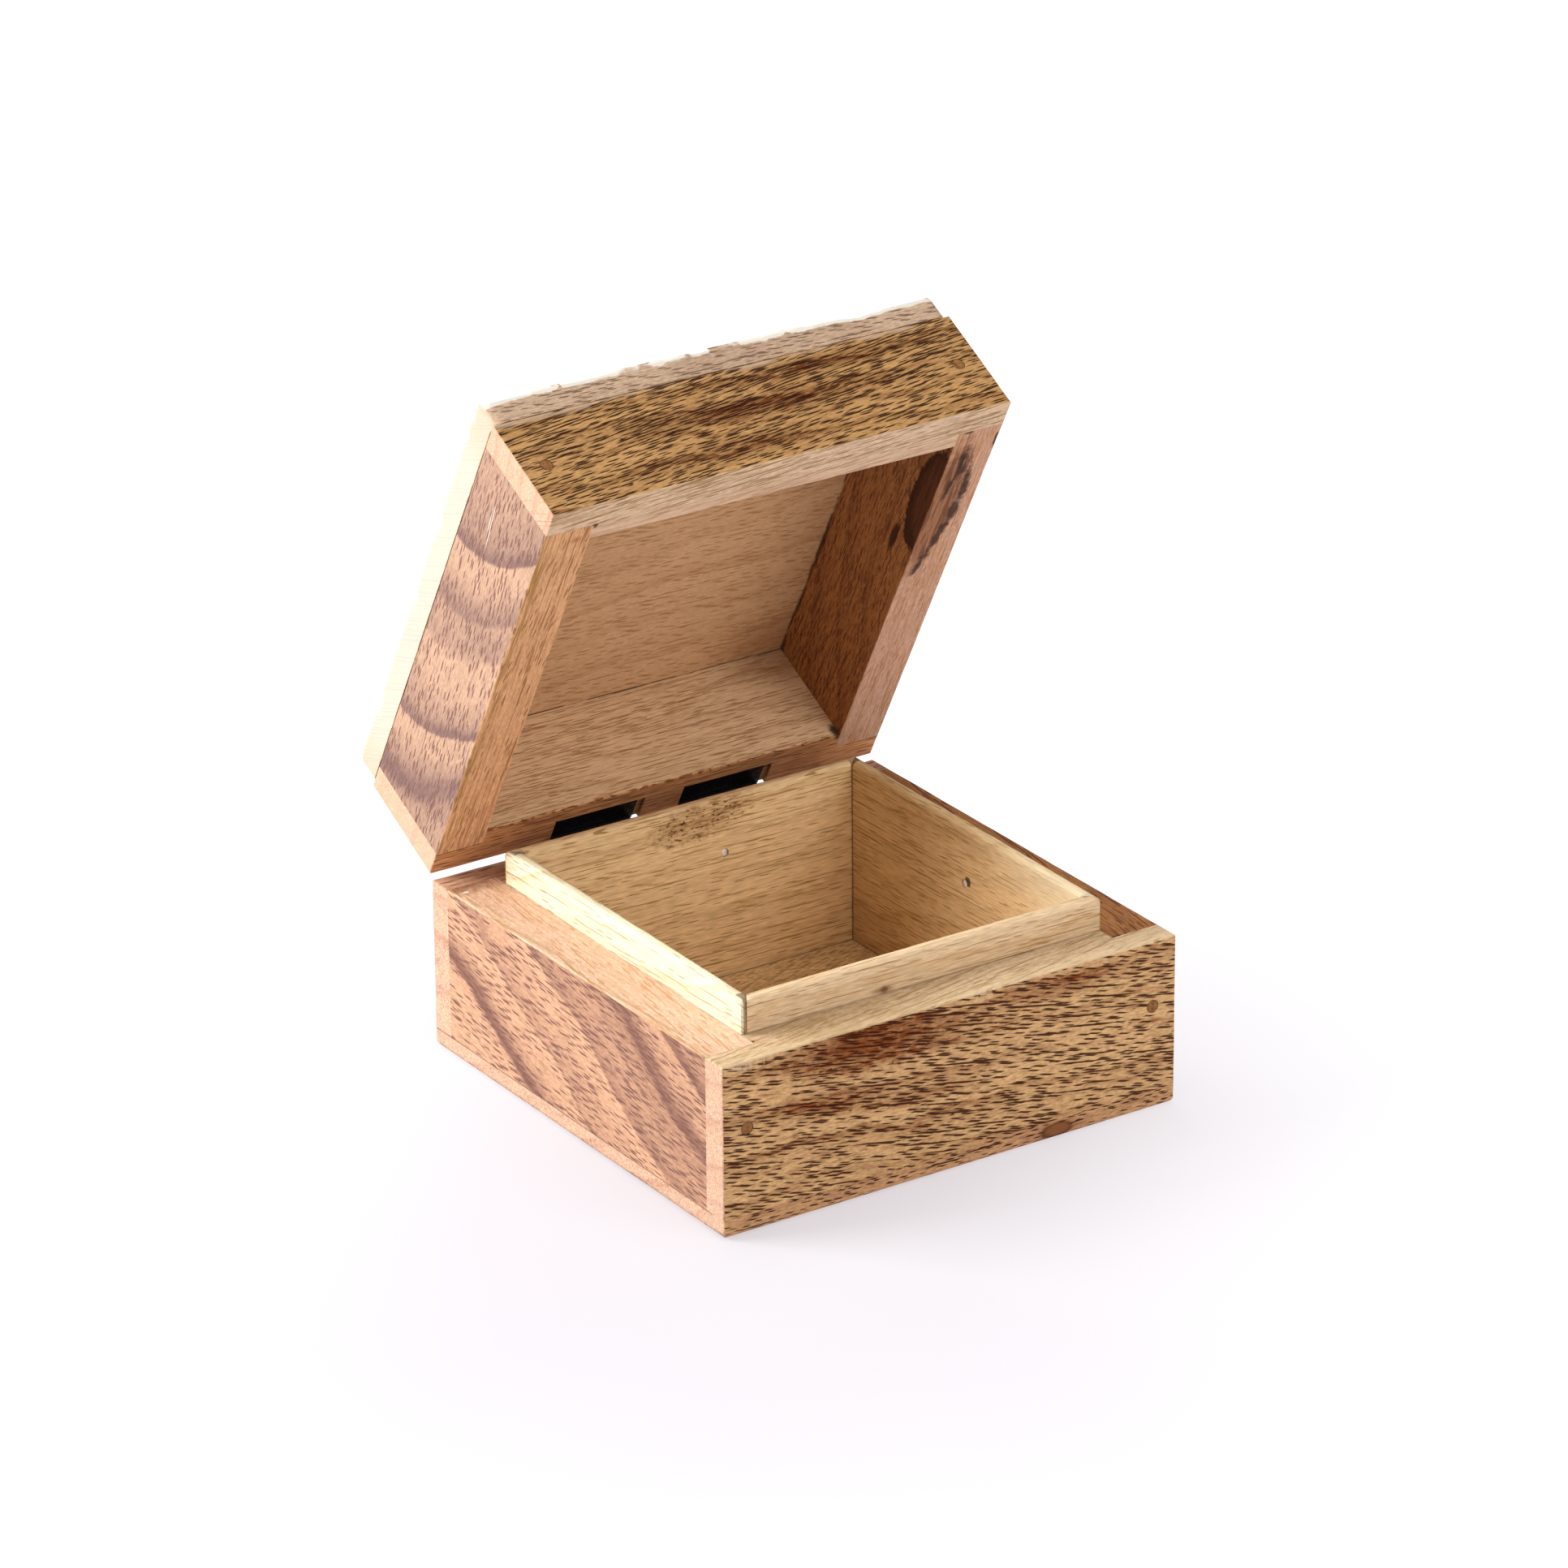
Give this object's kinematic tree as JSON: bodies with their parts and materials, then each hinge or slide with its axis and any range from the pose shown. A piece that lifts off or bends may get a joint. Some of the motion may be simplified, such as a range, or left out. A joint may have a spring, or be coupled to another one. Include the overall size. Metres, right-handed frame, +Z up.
{
  "type": "hinged wooden box",
  "caption": "Square hinged wooden keepsake box with rabbeted corners, a mitred inner tray that stands proud as a lip, black butt hinges and a carved lid.",
  "frame": {"origin": "middle of the flat underside", "axes": "+X to the right seen from the front, +Y to the hinge side at the back, +Z up"},
  "size_m": [0.125, 0.1566, 0.1701],
  "materials": {
    "end_wall_wood": "waxed, golden brown with dark pores",
    "side_wall_wood": "waxed, pinkish tan with brown bands",
    "panel_wood": "waxed, greyish tan",
    "tray_wood": "raw, pale straw",
    "peg_wood": "sanded flush",
    "hinge_black": "glossy black",
    "brad_steel": "bright"
  },
  "bodies": {
    "base": {"base_front_wall": "end_wall_wood", "base_back_wall": "end_wall_wood", "base_left_wall": "side_wall_wood", "base_right_wall": "side_wall_wood", "base_bottom_panel": "panel_wood", "liner_front_board": "tray_wood", "liner_back_board": "tray_wood", "liner_left_board": "tray_wood", "liner_right_board": "tray_wood", "base_corner_pegs": "peg_wood", "liner_brads": "brad_steel", "bottom_brads": "brad_steel", "hinge_left_base_leaf": "hinge_black", "hinge_right_base_leaf": "hinge_black", "hinge_left_pin": "hinge_black", "hinge_right_pin": "hinge_black", "base_leaf_screws": "hinge_black"},
    "lid": {"lid_front_wall": "end_wall_wood", "lid_back_wall": "end_wall_wood", "lid_left_wall": "side_wall_wood", "lid_right_wall": "side_wall_wood", "lid_top_panel": "panel_wood", "lid_corner_pegs": "peg_wood", "hinge_left_lid_leaf": "hinge_black", "hinge_right_lid_leaf": "hinge_black", "lid_leaf_screws": "hinge_black"}
  },
  "joints": [
    {"name": "lid_hinge", "type": "hinge", "parent": "base", "child": "lid", "pos_m": [0, 0.0628, 0.0432], "axis": [-1, 0, 0], "range_deg": [-61.8, 118.2]}
  ]
}
